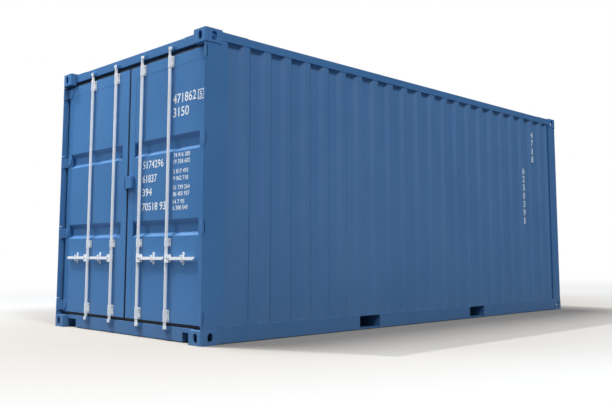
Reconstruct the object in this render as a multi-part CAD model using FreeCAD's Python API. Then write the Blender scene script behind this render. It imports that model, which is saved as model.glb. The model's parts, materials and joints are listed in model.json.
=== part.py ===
"""A 20 ft steel shipping container with two hinged doors, four lock rods and lifting handles.

The length runs along X with the doors at the -X end, the width along Y, and +Z is up.
The origin lies on the ground under the middle of the container. Sizes are in millimetres.
Left and right are as seen by someone who stands outside and faces the doors, so left is +Y.
Most pieces are drawn at the left or rear and mirrored. An inset is a distance inwards from
the container's outermost plane at that end or side.
"""

import FreeCAD, Part
import os

V = FreeCAD.Vector

# ---- whole container -------------------------------------------------------------
length = 6058.0
width = 2438.0
height = 2591.0

# ---- corner castings -------------------------------------------------------------
casting_length = 178.0  # along the container
casting_width = 162.0
casting_height = 118.0
casting_proud_side = 6.0  # how far the castings stand out from the side faces
casting_proud_top = 14.0
casting_foot = 6.0  # how far they reach below the rails
casting_plate = 28.0  # thickness of the plate with the twistlock slot
casting_wall = 14.0
casting_round = 12.0
slot_inset_end = 102.5  # from the container's end to the middle of a twistlock slot
slot_inset_side = 89.5
slot_length = 124.5
slot_width = 63.5
hole_width = 51.0
hole_height = 79.0
side_hole_inset = 94.0  # from the container's end to the middle of a side hole
end_hole_inset = 74.0  # from the container's side to the middle of an end hole

# ---- posts and rails -------------------------------------------------------------
rear_post_length = 242.0  # from the rear plane to the far edge of its side face
rear_post_width = 45.0
rear_post_edge = 3.0  # from the rear plane to the post's edge
rear_post_plate = 8.0
door_stop_gap = 6.0  # between the closed doors' seals and the faces behind them
front_post_length = 180.0
front_post_width = 80.0
front_post_plate = 6.0
front_edge = 6.0  # from the front plane to the front posts' faces
top_rail_height = 71.0
top_rail_width = 60.0
top_rail_plate = 4.0
bottom_rail_rise = 18.0  # how far the bottom rails reach above the deck's underside
bottom_rail_flange = 48.0
bottom_rail_plate = 5.0
header_inset = 55.0  # from the rear plane to the faces of the header and the sill
header_rise = 24.0  # from the castings' lower faces up to the header's lower edge
header_plate = 5.0
stop_overlap = 12.0  # how far the header's stop covers the tops of the doors
sill_rise = 4.0  # from the lower castings' tops up to the sill's top
sill_plate = 6.0
sill_pocket_width = 162.0
sill_pocket_top = 84.0
front_beam_width = 60.0
front_plate = 5.0
roof_plate_length = 290.0
roof_plate_width = 300.0
roof_plate_thickness = 3.0

# ---- corrugated sheets -----------------------------------------------------------
sheet = 2.0
wall_inset = 4.0  # from the rails' faces to the side walls' outer ridges
wall_pitch = 248.0
wall_ridge = 72.0
wall_slope = 36.0
wall_depth = 30.0
end_groove = 34.0  # the narrow groove beside the front post
end_ridge = 8.0
end_slope = 4.0
front_pitch = 250.0
front_wall_inset = 14.0
front_wall_depth = 40.0
roof_pitch = 209.0
roof_ridge = 70.0
roof_slope = 20.0
roof_depth = 18.0

# ---- floor -----------------------------------------------------------------------
floor_thickness = 28.0
floor_gap = 2.0
member_gap = 1.0  # between the cross members and the bottom rails' flanges
member_flange = 45.0
member_plate = 4.0
member_pitch = 300.0  # at most this from one cross member to the next
fork_spacing = 1922.0
fork_width = 300.0
fork_bottom = 14.0
fork_cover = 9.0  # what is left of the bottom rail above a fork pocket
fork_plate = 4.0
fork_strap = 210.0

# ---- doors -----------------------------------------------------------------------
door_inset = 55.0  # from the rear plane to the doors' outer faces
door_thickness = 50.0
door_lower_gap = 28.0  # between the sill and a door
door_upper_gap = 45.0
door_pin_gap = 37.0  # from the hinge line to a door's edge, across the container
door_middle_gap = 28.0  # between the two doors' frames
hinge_stile = 77.0
lock_stile = 91.0
door_rail = 100.0
door_tube = 3.5
panel_drop = 1.0  # from the frame's face to the panel's flat parts
groove_depth = 36.0
groove_slope = 33.0
groove_height = 140.0
groove_above_bottom = 800.0  # from a door's bottom edge to the middle of its lower groove
groove_below_top = 780.0
gasket_side = 22.0  # how far the seal reaches past the door's frame
gasket_bottom = 22.0
gasket_top = 15.5
gasket_middle = 9.5
gasket_inset = 18.0  # from the door's face to the seal
gasket_thickness = 24.0
gasket_lip = 11.0  # how far the seal stands out behind the door
gasket_lip_width = 26.0

# ---- hinges ----------------------------------------------------------------------
pin_margin = 0.5  # between the knuckles and the container's outermost planes
pin_radius = 7.0
pin_head_radius = 10.0
pin_head_height = 4.0
pin_clearance = 0.3
knuckle_wall = 4.5
hinge_count = 4
hinge_from_edge = 62.0  # from the door's top or bottom edge to the nearest hinge's middle
blade_height = 95.0
blade_thickness = 8.0
blade_overlap = 68.0  # how far a blade reaches over its door
blade_overhang = 8.0  # how far it runs straight past the door's edge before it bends
blade_chamfer = 34.0
hinge_play = 2.0
lug_height = 16.0
lug_tail = 30.0
lug_thickness = 12.0
notch_depth = 30.0
notch_top_gap = 3.0  # above the pin's head

# ---- lock rods -------------------------------------------------------------------
outer_rod_from_edge = 502.0  # from a door's hinge edge to its outer rod
rod_gap = 4.0  # between the cams' collars and the header
rod_radius = 13.0
rod_end_below = 29.0  # how far a rod reaches past the sill's top edge
rod_end_above = 33.0  # how far it reaches past the header's bottom edge
cam_from_end = 2.0
cam_height = 24.0
cam_collar_wall = 1.5
cam_length = 21.0  # from the rod's surface to the cam's tip
cam_half = 8.0
keeper_height = 30.0
keeper_gap = 6.0
keeper_ear = 8.0
keeper_depth = 28.0
keeper_foot = 14.0
keeper_foot_plate = 5.0

# ---- rod brackets, handles and retainers -----------------------------------------
bracket_clearance = 1.0
bracket_wall = 2.5
bracket_plate = 4.0
bracket_half_width = 36.0
end_bracket_height = 100.0
end_bracket_from_edge = 55.0  # from the door's top or bottom edge to the bracket's middle
middle_bracket_height = 70.0
middle_bracket_rise = 135.0  # from the handles up to the middle brackets
handle_height = 688.0
hub_height = 70.0
hub_wall = 2.0
hub_cheek = 5.0
hub_past_pin = 15.0
handle_pin_radius = 5.0
handle_clearance = 0.5
handle_side_gap = 1.5
handle_bar = 26.0
handle_eye = 15.0
handle_eye_gap = 5.0
handle_edge_gap = 108.0  # from the outer handle's tip to the door's hinge edge
handle_end_gap = 46.0  # from the inner handle's tip to the outer rod's axis
retainer_from_tip = 166.0
retainer_plate = 4.0
retainer_pad_radius = 16.0
retainer_pad_rise = 38.0  # from the handle's middle to the middle of a pad
retainer_neck = 20.0
ledge_gap = 1.5
ledge_thickness = 5.0
ledge_half_width = 9.0
ledge_lip = 16.0  # how far the ledge's front edge hangs down
seal_lug_width = 26.0
seal_lug_height = 42.0
seal_lug_proud = 4.0
seal_hole_radius = 4.0
seal_hole_from_top = 8.0

# ---- lock box --------------------------------------------------------------------
box_left_reach = 41.0  # from the container's middle
box_right_reach = 104.0
box_bottom = 1324.0
box_top = 1434.0
box_depth = 33.0
box_plate = 4.0
box_middle_gap = 10.0

# ---- worked out ------------------------------------------------------------------
rear = -length / 2
front = length / 2
side = width / 2
face = side - casting_proud_side
roof_line = height - casting_proud_top
upper_casting_bottom = height - casting_height
top_rail_bottom = roof_line - top_rail_height
header_bottom = upper_casting_bottom + header_rise
sill_top = casting_height + sill_rise
bottom_rail_top = sill_top + bottom_rail_rise
fork_top = bottom_rail_top - fork_cover
casting_inner = side - casting_width
doorway_half = face - rear_post_width
wall_face = face - wall_inset
floor_top = sill_top + floor_thickness
floor_half = face - bottom_rail_flange - floor_gap
fork_centres = (-fork_spacing / 2, fork_spacing / 2)
knuckle_radius = pin_radius + knuckle_wall
pin_x = rear + knuckle_radius + pin_margin
pin_y = side - knuckle_radius - pin_margin
door_face = rear + door_inset
door_back = door_face + door_thickness
door_stop = door_back + gasket_lip + door_stop_gap
door_bottom = sill_top + door_lower_gap
door_top = header_bottom - door_upper_gap
door_edge = pin_y - door_pin_gap
door_free_edge = door_middle_gap / 2
panel_inner = door_free_edge + lock_stile
panel_outer = door_edge - hinge_stile
cam_collar = rod_radius + cam_collar_wall
cam_reach = rod_radius + cam_length
rod_x = rear + header_inset - rod_gap - cam_collar
rod_bottom = sill_top - rod_end_below
rod_top = header_bottom + rod_end_above
handle_tip = outer_rod_from_edge - handle_edge_gap  # from a rod's axis
outer_rod = door_edge - outer_rod_from_edge
rod_offsets = {"inner": outer_rod - handle_tip - handle_end_gap, "outer": outer_rod}
hub_radius = rod_radius + hub_wall
handle_thickness = 2 * (hub_radius - hub_cheek - handle_side_gap)
handle_pin_offset = hub_radius + handle_eye_gap + handle_eye
hub_reach = handle_pin_offset + hub_past_pin
retainer_offset = handle_tip - retainer_from_tip
cam_levels = (rod_bottom + cam_from_end, rod_top - cam_from_end - cam_height)
hinge_first = door_bottom + hinge_from_edge
hinge_last = door_top - hinge_from_edge
hinge_step = (hinge_last - hinge_first) / (hinge_count - 1)
hinge_levels = [hinge_first + i * hinge_step for i in range(hinge_count)]
hinge_half = blade_height / 2 + hinge_play  # half of the space between two lugs
hinge_reach = hinge_half + lug_height


def block(x0, x1, y0, y1, z0, z1):
    """A box between two opposite corners."""
    return Part.makeBox(x1 - x0, y1 - y0, z1 - z0, V(x0, y0, z0))


def prism(points, direction):
    """A flat outline pushed along a direction."""
    return Part.Face(Part.makePolygon(points + points[:1])).extrude(direction)


def upright(x, y, z0, z1, radius):
    """An upright cylinder."""
    return Part.makeCylinder(radius, z1 - z0, V(x, y, z0))


def along_x(x0, x1, y, z, radius):
    """A cylinder along the container's length."""
    return Part.makeCylinder(radius, x1 - x0, V(x0, y, z), V(1, 0, 0))


def fused(shapes):
    """Touching shapes made into one clean solid."""
    return shapes[0].multiFuse(shapes[1:]).removeSplitter()


def mirrored_x(shape):
    return shape.mirror(V(0, 0, 0), V(1, 0, 0))


def mirrored_y(shape):
    return shape.mirror(V(0, 0, 0), V(0, 1, 0))


def four_corners(shape):
    """A rear left piece and its copies at the other three corners."""
    return [shape, mirrored_y(shape), mirrored_x(shape), mirrored_x(mirrored_y(shape))]


def save(name, pieces):
    """Writes one node: a shape, or a list of shapes that stay separate solids."""
    if isinstance(pieces, list):
        pieces = Part.makeCompound(pieces)
    print(f"{name}: {len(pieces.Solids)} solids, {pieces.Volume / 1e6:.2f} litres")
    pieces.exportStep(f"parts/{name}.step")


def save_pair(name, pieces):
    """Writes a left piece, or a list of them, and the mirror image on the right."""
    save(f"{name}_left", pieces)
    save(f"{name}_right", [mirrored_y(p) for p in pieces] if isinstance(pieces, list) else mirrored_y(pieces))


# ---- corner castings -------------------------------------------------------------
def slot_tool(centre, slot_size, round_radius, long_axis, through):
    """A slot with round ends, cut along `through` from its centre plane."""
    ends = [centre + long_axis * s * (slot_size / 2 - round_radius) for s in (-1, 1)]
    across = long_axis.cross(through).normalize() * round_radius
    rounds = [Part.makeCylinder(round_radius, through.Length, e, through) for e in ends]
    middle = prism([ends[0] - across, ends[1] - across, ends[1] + across, ends[0] + across], through)
    return fused([middle] + rounds)


def corner_casting(upper):
    """The casting at the rear left corner: a hollow block with three slotted faces."""
    z0 = upper_casting_bottom if upper else 0.0
    x0, x1 = rear, rear + casting_length
    y0, y1, z1 = casting_inner, side, z0 + casting_height
    body = block(x0, x1, y0, y1, z0, z1)
    corner = [e for e in body.Edges if e.BoundBox.XMax < x0 + 1 and e.BoundBox.YMin > y1 - 1]
    body = body.makeFillet(casting_round, corner)
    low_wall, high_wall = (casting_wall, casting_plate) if upper else (casting_plate, casting_wall)
    w = casting_wall
    hollow = block(x0 + w, x1 - w, y0 + w, y1 - w, z0 + low_wall, z1 - high_wall)
    mid_y, mid_z = (y0 + y1) / 2, (z0 + z1) / 2
    twist = V(rear + slot_inset_end, side - slot_inset_side, mid_z)
    outwards = V(0, 0, casting_height if upper else -casting_height)
    side_hole = V(rear + side_hole_inset, mid_y, mid_z)
    end_hole = V((x0 + x1) / 2, side - end_hole_inset, mid_z)
    tools = [
        hollow,
        slot_tool(twist, slot_length, slot_width / 2, V(1, 0, 0), outwards),
        slot_tool(side_hole, hole_height, hole_width / 2, V(0, 0, 1), V(0, casting_width, 0)),
        slot_tool(end_hole, hole_height, hole_width / 2, V(0, 0, 1), V(-casting_length, 0, 0)),
    ]
    return body.cut(tools)


# ---- posts and rails -------------------------------------------------------------
def hinge_lug(z0, z1):
    """A lug of the rear left post: an eye round the hinge line with a tail along the post."""
    eye = upright(pin_x, pin_y, z0, z1, knuckle_radius)
    tail = block(pin_x, pin_x + lug_tail, face - lug_thickness, face, z0, z1)
    return eye.fuse(tail).cut(upright(pin_x, pin_y, z0, z1, pin_radius + pin_clearance))


def rear_post():
    """The rear left post: a side plate that reaches the rear edge, and a box behind the door."""
    x0, x1 = rear + rear_post_edge, rear + rear_post_length
    behind_casting = rear + casting_length
    z0, z1 = casting_height, upper_casting_bottom
    t = rear_post_plate
    plate = block(x0, x1, face - t, face, z0, z1)
    box = block(door_stop, x1, doorway_half, face, z0, z1)
    hollow = block(door_stop + t, x1 - t, doorway_half + t, face - t, z0, z1)
    head = block(behind_casting, x1, doorway_half, face, z1, top_rail_bottom)
    head_hollow = block(behind_casting, x1 - t, doorway_half + t, face - t, z1, top_rail_bottom)
    rail_end = block(behind_casting, x1, doorway_half, face, z0, bottom_rail_top)
    notch_top = hinge_reach + pin_head_height + notch_top_gap
    notches = [
        block(rear, rear + notch_depth, face - t, face, z - hinge_reach, z + notch_top) for z in hinge_levels
    ]
    post = fused([plate, box, head]).cut([hollow, head_hollow, rail_end] + notches)
    lugs = [hinge_lug(z - hinge_reach, z - hinge_half) for z in hinge_levels]
    lugs += [hinge_lug(z + hinge_half, z + hinge_reach) for z in hinge_levels]
    return fused([post] + lugs)


def hinge_pin(z):
    """The pin of one hinge on the left, with its head on the upper lug."""
    shank = upright(pin_x, pin_y, z - hinge_reach, z + hinge_reach, pin_radius)
    head = upright(pin_x, pin_y, z + hinge_reach, z + hinge_reach + pin_head_height, pin_head_radius)
    return shank.fuse(head)


def front_post():
    """The front left post: a box section."""
    x1 = front - front_edge
    x0 = x1 - front_post_length
    y0, t = face - front_post_width, front_post_plate
    z0, z1 = casting_height, upper_casting_bottom
    before_casting = front - casting_length
    post = block(x0, x1, y0, face, z0, z1)
    head = block(x0, before_casting, y0, face, z1, top_rail_bottom)
    rail_end = block(x0, before_casting, y0, face, z0, bottom_rail_top)
    hollow = block(x0 + t, x1 - t, y0 + t, face - t, z0, z1)
    return fused([post, head]).cut([rail_end, hollow])


def top_rail():
    """The left top rail: a square tube between the upper castings."""
    x0, x1 = rear + casting_length, front - casting_length
    y0, t = face - top_rail_width, top_rail_plate
    tube = block(x0, x1, y0, face, top_rail_bottom, roof_line)
    return tube.cut(block(x0, x1, y0 + t, face - t, top_rail_bottom + t, roof_line - t))


def bottom_rail():
    """The left bottom rail: a channel, open inwards, with the two fork pocket holes."""
    x0, x1 = rear + casting_length, front - casting_length
    y0, t = face - bottom_rail_flange, bottom_rail_plate
    rail = block(x0, x1, y0, face, casting_foot, bottom_rail_top)
    tools = [block(x0, x1, y0, face - t, casting_foot + t, bottom_rail_top - t)]
    tools += [block(x - fork_width / 2, x + fork_width / 2, y0, face, fork_bottom, fork_top) for x in fork_centres]
    return rail.cut(tools)


def door_header():
    """The beam over the doors, with the stop that they close against."""
    x0, x1 = rear + header_inset, rear + casting_length
    t, y = header_plate, casting_inner
    beam = block(x0, x1, -y, y, header_bottom, roof_line)
    hollow = block(x0 + t, x1 - t, -y, y, header_bottom + t, roof_line - t)
    stop_base = block(door_stop, x1, -y, y, upper_casting_bottom, header_bottom)
    stop_bar = block(door_stop, x1, -doorway_half, doorway_half, door_top - stop_overlap, upper_casting_bottom)
    return fused([beam.cut(hollow), stop_base, stop_bar])


def door_sill():
    """The beam under the doors, with the threshold and an open pocket beside each casting."""
    x0, x1 = rear + header_inset, rear + casting_length
    t, y = sill_plate, casting_inner
    beam = block(x0, x1, -y, y, casting_foot, sill_top)
    threshold = block(door_stop, x1, -doorway_half, doorway_half, sill_top, floor_top)
    hollow = block(x0 + t, x1 - t, -y, y, casting_foot + t, sill_top - t)
    inner = y - sill_pocket_width
    pocket = block(x0, x1 - t, inner, y, casting_foot, sill_pocket_top)
    cheek = block(x0, x1 - t, inner - t, inner, casting_foot, sill_top - t)
    beam = beam.cut([hollow, pocket, mirrored_y(pocket)])
    return fused([beam, cheek, mirrored_y(cheek), threshold])


def front_header():
    """The top front beam, with the plate that carries the roof's front end."""
    x1, t, y = front - front_edge, front_plate, casting_inner
    x0 = x1 - front_beam_width
    beam = block(x0, x1, -y, y, upper_casting_bottom, roof_line)
    hollow = block(x0 + t, x1 - t, -y, y, upper_casting_bottom + t, roof_line - t)
    return fused([beam.cut(hollow), block(front - casting_length, x0, -y, y, roof_line - t, roof_line)])


def front_sill():
    """The bottom front beam."""
    x1, t, y = front - front_edge, front_plate, casting_inner
    x0 = x1 - front_beam_width
    beam = block(x0, x1, -y, y, casting_foot, casting_height)
    return beam.cut(block(x0 + t, x1 - t, -y, y, casting_foot + t, casting_height - t))


def roof_plate():
    """The guard plate on the roof beside the rear left casting."""
    x0, x1 = rear + header_inset, rear + casting_length + roof_plate_length
    y0, z1 = face - top_rail_width - roof_plate_width, roof_line + roof_plate_thickness
    plate = block(x0, x1, y0, face, roof_line, z1)
    return plate.cut(block(rear, rear + casting_length, casting_inner, side, roof_line, z1))


# ---- corrugated sheets -----------------------------------------------------------
def folded_sheet(path, push):
    """The outline of a folded sheet along `path`, a list of (run, depth) pairs."""
    outer = [push(u, d) for u, d in path]
    inner = [push(u, d + sheet) for u, d in reversed(path)]
    return outer + inner


def side_wall():
    """The left wall: upright corrugations between the posts."""
    start, stop = rear_post_length, length - front_edge - front_post_length
    last_ridge = stop - end_groove - end_slope - end_ridge
    path = [(start, wall_depth)]
    line = start + wall_pitch
    while line + 2 * wall_slope < last_ridge:
        path += [(line - wall_ridge - wall_slope, wall_depth), (line - wall_ridge, 0.0)]
        path += [(line, 0.0), (line + wall_slope, wall_depth)]
        line += wall_pitch
    path += [(last_ridge - wall_slope, wall_depth), (last_ridge, 0.0)]
    path += [(last_ridge + end_ridge, 0.0), (last_ridge + end_ridge + end_slope, wall_depth), (stop, wall_depth)]
    outline = folded_sheet(path, lambda u, d: V(rear + u, wall_face - d, bottom_rail_top))
    return prism(outline, V(0, 0, top_rail_bottom - bottom_rail_top))


def wave(start, stop, pitch, ridge, slope, depth):
    """Even ridges from start to stop, with what is left over shared between the two ends."""
    count = int((stop - start) // pitch)
    margin = (stop - start - count * pitch + pitch - ridge - 2 * slope) / 2
    path = [(start, depth)]
    for i in range(count):
        u = start + margin + i * pitch
        path += [(u, depth), (u + slope, 0.0), (u + slope + ridge, 0.0), (u + 2 * slope + ridge, depth)]
    return path + [(stop, depth)]


def front_wall():
    """The front wall: upright corrugations between the front posts."""
    half = face - front_post_width
    path = wave(-half, half, front_pitch, front_pitch / 2 - wall_slope, wall_slope, front_wall_depth)
    outline = folded_sheet(path, lambda u, d: V(front - front_wall_inset - d, u, casting_height))
    return prism(outline, V(0, 0, upper_casting_bottom - casting_height))


def roof_panel():
    """The roof: corrugations from side to side between the top rails."""
    x0, x1 = rear + casting_length, front - casting_length
    y = face - top_rail_width
    path = wave(x0, x1, roof_pitch, roof_ridge, roof_slope, roof_depth)
    outline = folded_sheet(path, lambda u, d: V(u, -y, roof_line - d))
    return prism(outline, V(0, 2 * y, 0))


# ---- floor -----------------------------------------------------------------------
def floor_deck():
    """The plywood deck, cut round the front posts."""
    x1 = front - front_wall_inset - front_wall_depth - sheet
    deck = block(rear + casting_length, x1, -floor_half, floor_half, sill_top, floor_top)
    post_x, post_y = front - front_edge - front_post_length, face - front_post_width
    corner = block(post_x, front, post_y, side, sill_top, floor_top)
    post_end = block(rear, rear + rear_post_length, doorway_half, side, sill_top, floor_top)
    return deck.cut([corner, mirrored_y(corner), post_end, mirrored_y(post_end)])


def cross_members():
    """Channels under the floor from rail to rail, clear of the fork pockets."""
    y, t = face - bottom_rail_plate, member_plate
    z0, z1 = casting_foot + bottom_rail_plate + member_gap, sill_top
    first = rear + casting_length + member_flange
    last = front - casting_length - 2 * member_flange
    count = int((last - first) // member_pitch) + 1
    step = (last - first) / count
    clear = fork_width / 2 + fork_plate
    members = []
    for i in range(count + 1):
        x = first + i * step
        if any(c - clear - 2 * member_flange < x < c + clear + member_flange for c in fork_centres):
            continue
        bar = block(x, x + member_flange, -y, y, z0, z1)
        members.append(bar.cut(block(x + t, x + member_flange, -y, y, z0 + t, z1 - t)))
    return members


def fork_pocket(x):
    """A tunnel for a lift truck's forks: two side plates, and straps under its ends."""
    t, y = fork_plate, face - bottom_rail_plate
    x0, x1 = x - fork_width / 2, x + fork_width / 2
    z0, z1 = casting_foot + bottom_rail_plate, sill_top
    strap = block(x0, x1, y - fork_strap, y, z0, fork_bottom)
    return fused([block(x0 - t, x0, -y, y, z0, z1), block(x1, x1 + t, -y, y, z0, z1), strap, mirrored_y(strap)])


# ---- doors -----------------------------------------------------------------------
def door_frame():
    """The left door's frame: two upright tubes, and a channel across its top and bottom."""
    x0, x1, t = door_face, door_back, door_tube
    bars = []
    for y0, y1 in ((door_free_edge, panel_inner), (panel_outer, door_edge)):
        tube = block(x0, x1, y0, y1, door_bottom, door_top)
        bars.append(tube.cut(block(x0 + t, x1 - t, y0 + t, y1 - t, door_bottom, door_top)))
    for z0 in (door_bottom, door_top - door_rail):
        z1 = z0 + door_rail
        channel = block(x0, x1, panel_inner, panel_outer, z0, z1)
        bars.append(channel.cut(block(x0 + t, x1, panel_inner, panel_outer, z0 + t, z1 - t)))
    return fused(bars)


def door_panel():
    """The left door's skin: flat, with two grooves across it."""
    path = [(door_bottom + door_rail, panel_drop)]
    for centre in (door_bottom + groove_above_bottom, door_top - groove_below_top):
        low, high = centre - groove_height / 2, centre + groove_height / 2
        path += [(low, panel_drop), (low + groove_slope, groove_depth)]
        path += [(high - groove_slope, groove_depth), (high, panel_drop)]
    path.append((door_top - door_rail, panel_drop))
    outline = folded_sheet(path, lambda u, d: V(door_face + d, panel_inner, u))
    return prism(outline, V(0, panel_outer - panel_inner, 0))


def door_gasket():
    """The left door's rubber seal: a band round the door's edge, and a lip behind the door."""
    x0 = door_face + gasket_inset
    x1, w = x0 + gasket_thickness, gasket_lip_width
    y0, y1, z0, z1 = door_free_edge, door_edge, door_bottom, door_top
    band = block(x0, x1, y0 - gasket_middle, y1 + gasket_side, z0 - gasket_bottom, z1 + gasket_top)
    lip = block(door_back, door_back + gasket_lip, y0, y1, z0, z1)
    lip_inside = block(door_back, door_back + gasket_lip, y0 + w, y1 - w, z0 + w, z1 - w)
    return [band.cut(block(x0, x1, y0, y1, z0, z1)), lip.cut(lip_inside)]


def hinge_blade(z):
    """One blade on the left door: a plate on its face, an arm and the knuckle round the pin."""
    z0, z1 = z - blade_height / 2, z + blade_height / 2
    x0, x1 = door_face - blade_thickness, door_face
    tip, bend = door_edge - blade_overlap, door_edge + blade_overhang
    plate = block(x0, x1, tip, bend, z0, z1)
    cut_points = [V(x0, tip, z0), V(x0, tip + blade_chamfer, z0), V(x0, tip, z0 + blade_chamfer)]
    plate = plate.cut(prism(cut_points, V(blade_thickness, 0, 0)))
    round_edge = [e for e in plate.Edges if e.BoundBox.YMax < tip + 1 and e.BoundBox.ZMin > z1 - 1]
    plate = plate.makeFillet(blade_chamfer / 2, round_edge)
    elbow, pin = V((x0 + x1) / 2, bend, z0), V(pin_x, pin_y, z0)
    along = (pin - elbow).normalize()
    across = V(-along.y, along.x, 0) * (blade_thickness / 2)
    arm = prism([elbow - across, pin - across, pin + across, elbow + across], V(0, 0, blade_height))
    joint = upright(elbow.x, elbow.y, z0, z1, blade_thickness / 2)
    blade = fused([plate, joint, arm, upright(pin_x, pin_y, z0, z1, knuckle_radius)])
    return blade.cut(upright(pin_x, pin_y, z0, z1, pin_radius + pin_clearance))


# ---- lock rods, keepers and brackets ----------------------------------------------
def lock_rod(y):
    """A rod at y on the left door, with its two cams and the fork that holds its handle."""
    parts = [upright(rod_x, y, rod_bottom, rod_top, rod_radius)]
    nose = y + cam_reach - cam_half
    for z in cam_levels:
        parts.append(upright(rod_x, y, z, z + cam_height, cam_collar))
        parts.append(block(rod_x - cam_half, rod_x + cam_half, y, nose, z, z + cam_height))
        parts.append(upright(rod_x, nose, z, z + cam_height, cam_half))
    z0, z1 = handle_height - hub_height / 2, handle_height + hub_height / 2
    parts.append(upright(rod_x, y, z0, z1, hub_radius))
    for x0 in (rod_x - hub_radius, rod_x + hub_radius - hub_cheek):
        parts.append(block(x0, x0 + hub_cheek, y, y + hub_reach, z0, z1))
    pin_x0, pin_x1 = rod_x - hub_radius, rod_x + hub_radius
    parts.append(along_x(pin_x0, pin_x1, y + handle_pin_offset, handle_height, handle_pin_radius))
    return fused(parts)


def handle(y):
    """The handle of the rod at y on the left door: a bar with an eye, and a lug for the seal."""
    x0, x1 = rod_x - handle_thickness / 2, rod_x + handle_thickness / 2
    eye_y, tip_y, lug_y = y + handle_pin_offset, y + handle_tip - handle_bar / 2, y + retainer_offset
    z0, z1 = handle_height - handle_bar / 2, handle_height + handle_bar / 2
    whole = fused([
        along_x(x0, x1, eye_y, handle_height, handle_eye),
        block(x0, x1, eye_y, tip_y, z0, z1),
        along_x(x0, x1, tip_y, handle_height, handle_bar / 2),
        block(
            x0 - seal_lug_proud, x0, lug_y - seal_lug_width / 2, lug_y + seal_lug_width / 2,
            z0, z0 + seal_lug_height,
        ),
    ])
    bore = along_x(x0, x1, eye_y, handle_height, handle_pin_radius + handle_clearance)
    hole_z = z0 + seal_lug_height - seal_hole_from_top
    return whole.cut([bore, along_x(x0 - seal_lug_proud, x0, lug_y, hole_z, seal_hole_radius)])


def keeper(y, cam_bottom):
    """The keeper of one cam on the left: two ears with feet, open to the outside."""
    x1 = rear + header_inset
    x0 = x1 - keeper_depth
    middle = cam_bottom + cam_height / 2
    z0, z1 = middle - keeper_height / 2, middle + keeper_height / 2
    near, far = y - cam_collar - keeper_gap, y + cam_reach + keeper_gap
    near_ear = block(x0, x1, near - keeper_ear, near, z0, z1)
    near_foot = block(x1 - keeper_foot_plate, x1, near - keeper_ear - keeper_foot, near, z0, z1)
    far_ear = block(x0, x1, far, far + keeper_ear, z0, z1)
    far_foot = block(x1 - keeper_foot_plate, x1, far, far + keeper_ear + keeper_foot, z0, z1)
    return [fused([near_ear, near_foot]), fused([far_ear, far_foot])]


def rod_bracket(y, z, tall):
    """A bracket on the left door: a plate on the skin with a sleeve round the rod."""
    z0, z1 = z - tall / 2, z + tall / 2
    bore = rod_radius + bracket_clearance
    sleeve = bore + bracket_wall
    plate = block(door_face - bracket_plate, door_face, y - bracket_half_width, y + bracket_half_width, z0, z1)
    legs = block(rod_x, door_face, y - sleeve, y + sleeve, z0, z1)
    bracket = fused([plate, legs, upright(rod_x, y, z0, z1, sleeve)])
    return bracket.cut(upright(rod_x, y, z0, z1, bore))


def handle_retainer(y):
    """A retainer on the left door: two round pads joined by a neck, with a ledge for the handle."""
    centre, x1 = y + retainer_offset, door_face
    x0 = x1 - retainer_plate
    low, high = handle_height - retainer_pad_rise, handle_height + retainer_pad_rise
    neck = block(x0, x1, centre - retainer_neck / 2, centre + retainer_neck / 2, low, high)
    pads = [along_x(x0, x1, centre, z, retainer_pad_radius) for z in (low, high)]
    y0, y1 = centre - ledge_half_width, centre + ledge_half_width
    top = handle_height - handle_bar / 2 - ledge_gap
    tip = rod_x - handle_thickness / 2
    ledge = block(tip, x0, y0, y1, top - ledge_thickness, top)
    lip = block(tip, tip + ledge_thickness, y0, y1, top - ledge_lip, top)
    return fused([neck, ledge, lip] + pads)


def lock_box(y0, y1, open_low, open_high):
    """Half of the box that covers the middle of the doors, open towards the other half."""
    x0, x1, t = door_face - box_depth, door_face, box_plate
    shell = block(x0, x1, y0, y1, box_bottom, box_top)
    low = y0 if open_low else y0 + t
    high = y1 if open_high else y1 - t
    return shell.cut(block(x0 + t, x1, low, high, box_bottom + t, box_top - t))


def main():
    os.makedirs("parts", exist_ok=True)
    save("corner_castings_upper", four_corners(corner_casting(True)))
    save("corner_castings_lower", four_corners(corner_casting(False)))
    save_pair("rear_post", rear_post())
    save_pair("front_post", front_post())
    save_pair("top_rail", top_rail())
    save_pair("bottom_rail", bottom_rail())
    save("door_header", door_header())
    save("door_sill", door_sill())
    save("front_header", front_header())
    save("front_sill", front_sill())
    save("roof_corner_plates", four_corners(roof_plate()))
    save_pair("side_wall", side_wall())
    save("front_wall", front_wall())
    save("roof_panel", roof_panel())
    save("floor_deck", floor_deck())
    save("floor_cross_members", cross_members())
    save("fork_pockets", [fork_pocket(x) for x in fork_centres])
    save_pair("door_frame", door_frame())
    save_pair("door_panel", door_panel())
    save_pair("door_gasket", door_gasket())
    save_pair("door_hinges", [hinge_blade(z) for z in hinge_levels])
    save_pair("hinge_pins", [hinge_pin(z) for z in hinge_levels])
    offsets = rod_offsets.values()
    rows = [
        (door_bottom + end_bracket_from_edge, end_bracket_height),
        (handle_height + middle_bracket_rise, middle_bracket_height),
        (door_top - end_bracket_from_edge, end_bracket_height),
    ]
    save_pair("rod_brackets", [rod_bracket(y, z, tall) for y in offsets for z, tall in rows])
    save_pair("handle_retainers", [handle_retainer(y) for y in offsets])
    keepers = [ear for y in offsets for z in cam_levels for ear in keeper(y, z)]
    save("cam_keepers", keepers + [mirrored_y(ear) for ear in keepers])
    for place, y in rod_offsets.items():
        save_pair(f"lock_rod_{place}", lock_rod(y))
        save_pair(f"handle_{place}", handle(y))
    save("lock_box_left", lock_box(box_middle_gap / 2, box_left_reach, True, False))
    save("lock_box_right", lock_box(-box_right_reach, -box_middle_gap / 2, False, True))


main()
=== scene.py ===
import json
import math
import random

import bmesh
import bpy
from mathutils import Matrix, Vector

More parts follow.
